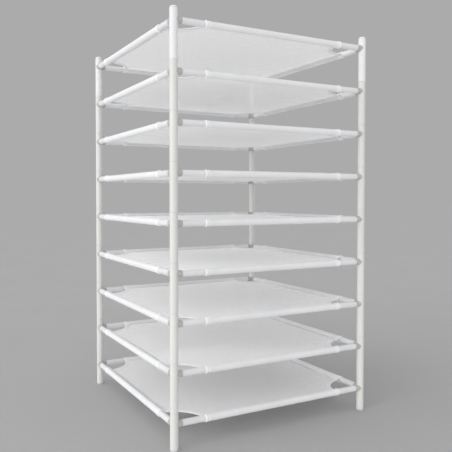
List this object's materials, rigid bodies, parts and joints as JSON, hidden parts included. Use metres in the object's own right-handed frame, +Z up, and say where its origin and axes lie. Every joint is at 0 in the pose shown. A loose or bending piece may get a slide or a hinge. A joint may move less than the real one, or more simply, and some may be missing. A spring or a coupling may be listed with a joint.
{
  "type": "stackable drying rack",
  "caption": "Free-standing square drying rack: stacked tube frames, each holding a taut cloth tray sewn round its rails, on plain round feet; the trays lift apart.",
  "frame": {"origin": "on the floor, at the middle of the four feet", "axes": "+Z up along the posts, +X and +Y along the rails, the pictured front facing -Y"},
  "size_m": [0.952, 0.952, 1.672],
  "materials": {
    "ivory_tube": "smooth ivory plastic tube with a soft gloss",
    "ivory_fitting": "moulded ivory plastic, a little duller than the tubes",
    "white_tube": "smooth cool white plastic tube with a soft gloss",
    "tray_cloth": "taut fine-woven white cloth",
    "binding_tape": "white folded binding tape"
  },
  "bodies": {
    "tier_1": {"tier_1_posts": "ivory_tube", "tier_1_feet": "ivory_fitting", "tier_1_rail_spigots": "ivory_fitting", "tier_1_rails": "white_tube", "tier_1_tray_cloth": "tray_cloth", "tier_1_corner_bindings": "binding_tape"},
    "tier_2": {"tier_2_posts": "ivory_tube", "tier_2_stacking_spigots": "ivory_fitting", "tier_2_rail_spigots": "ivory_fitting", "tier_2_rails": "white_tube", "tier_2_tray_cloth": "tray_cloth", "tier_2_corner_bindings": "binding_tape"},
    "tier_3": {"tier_3_posts": "ivory_tube", "tier_3_stacking_spigots": "ivory_fitting", "tier_3_rail_spigots": "ivory_fitting", "tier_3_rails": "white_tube", "tier_3_tray_cloth": "tray_cloth", "tier_3_corner_bindings": "binding_tape"},
    "tier_4": {"tier_4_posts": "ivory_tube", "tier_4_stacking_spigots": "ivory_fitting", "tier_4_rail_spigots": "ivory_fitting", "tier_4_rails": "white_tube", "tier_4_tray_cloth": "tray_cloth", "tier_4_corner_bindings": "binding_tape"},
    "tier_5": {"tier_5_posts": "ivory_tube", "tier_5_stacking_spigots": "ivory_fitting", "tier_5_rail_spigots": "ivory_fitting", "tier_5_rails": "white_tube", "tier_5_tray_cloth": "tray_cloth", "tier_5_corner_bindings": "binding_tape"},
    "tier_6": {"tier_6_posts": "ivory_tube", "tier_6_stacking_spigots": "ivory_fitting", "tier_6_rail_spigots": "ivory_fitting", "tier_6_rails": "white_tube", "tier_6_tray_cloth": "tray_cloth", "tier_6_corner_bindings": "binding_tape"},
    "tier_7": {"tier_7_posts": "ivory_tube", "tier_7_stacking_spigots": "ivory_fitting", "tier_7_rail_spigots": "ivory_fitting", "tier_7_rails": "white_tube", "tier_7_tray_cloth": "tray_cloth", "tier_7_corner_bindings": "binding_tape"},
    "tier_8": {"tier_8_posts": "ivory_tube", "tier_8_stacking_spigots": "ivory_fitting", "tier_8_rail_spigots": "ivory_fitting", "tier_8_rails": "white_tube", "tier_8_tray_cloth": "tray_cloth", "tier_8_corner_bindings": "binding_tape"},
    "tier_9": {"tier_9_posts": "white_tube", "tier_9_stacking_spigots": "ivory_fitting", "tier_9_rail_spigots": "ivory_fitting", "tier_9_rails": "white_tube", "tier_9_tray_cloth": "tray_cloth", "tier_9_corner_bindings": "binding_tape", "tier_9_post_caps": "white_tube"}
  },
  "joints": [
    {"name": "tier_2_lift", "type": "slide", "parent": "tier_1", "child": "tier_2", "axis": [0, 0, 1], "range_m": [0, 0.042]},
    {"name": "tier_3_lift", "type": "slide", "parent": "tier_2", "child": "tier_3", "axis": [0, 0, 1], "range_m": [0, 0.042]},
    {"name": "tier_4_lift", "type": "slide", "parent": "tier_3", "child": "tier_4", "axis": [0, 0, 1], "range_m": [0, 0.042]},
    {"name": "tier_5_lift", "type": "slide", "parent": "tier_4", "child": "tier_5", "axis": [0, 0, 1], "range_m": [0, 0.042]},
    {"name": "tier_6_lift", "type": "slide", "parent": "tier_5", "child": "tier_6", "axis": [0, 0, 1], "range_m": [0, 0.042]},
    {"name": "tier_7_lift", "type": "slide", "parent": "tier_6", "child": "tier_7", "axis": [0, 0, 1], "range_m": [0, 0.042]},
    {"name": "tier_8_lift", "type": "slide", "parent": "tier_7", "child": "tier_8", "axis": [0, 0, 1], "range_m": [0, 0.042]},
    {"name": "tier_9_lift", "type": "slide", "parent": "tier_8", "child": "tier_9", "axis": [0, 0, 1], "range_m": [0, 0.042]}
  ]
}
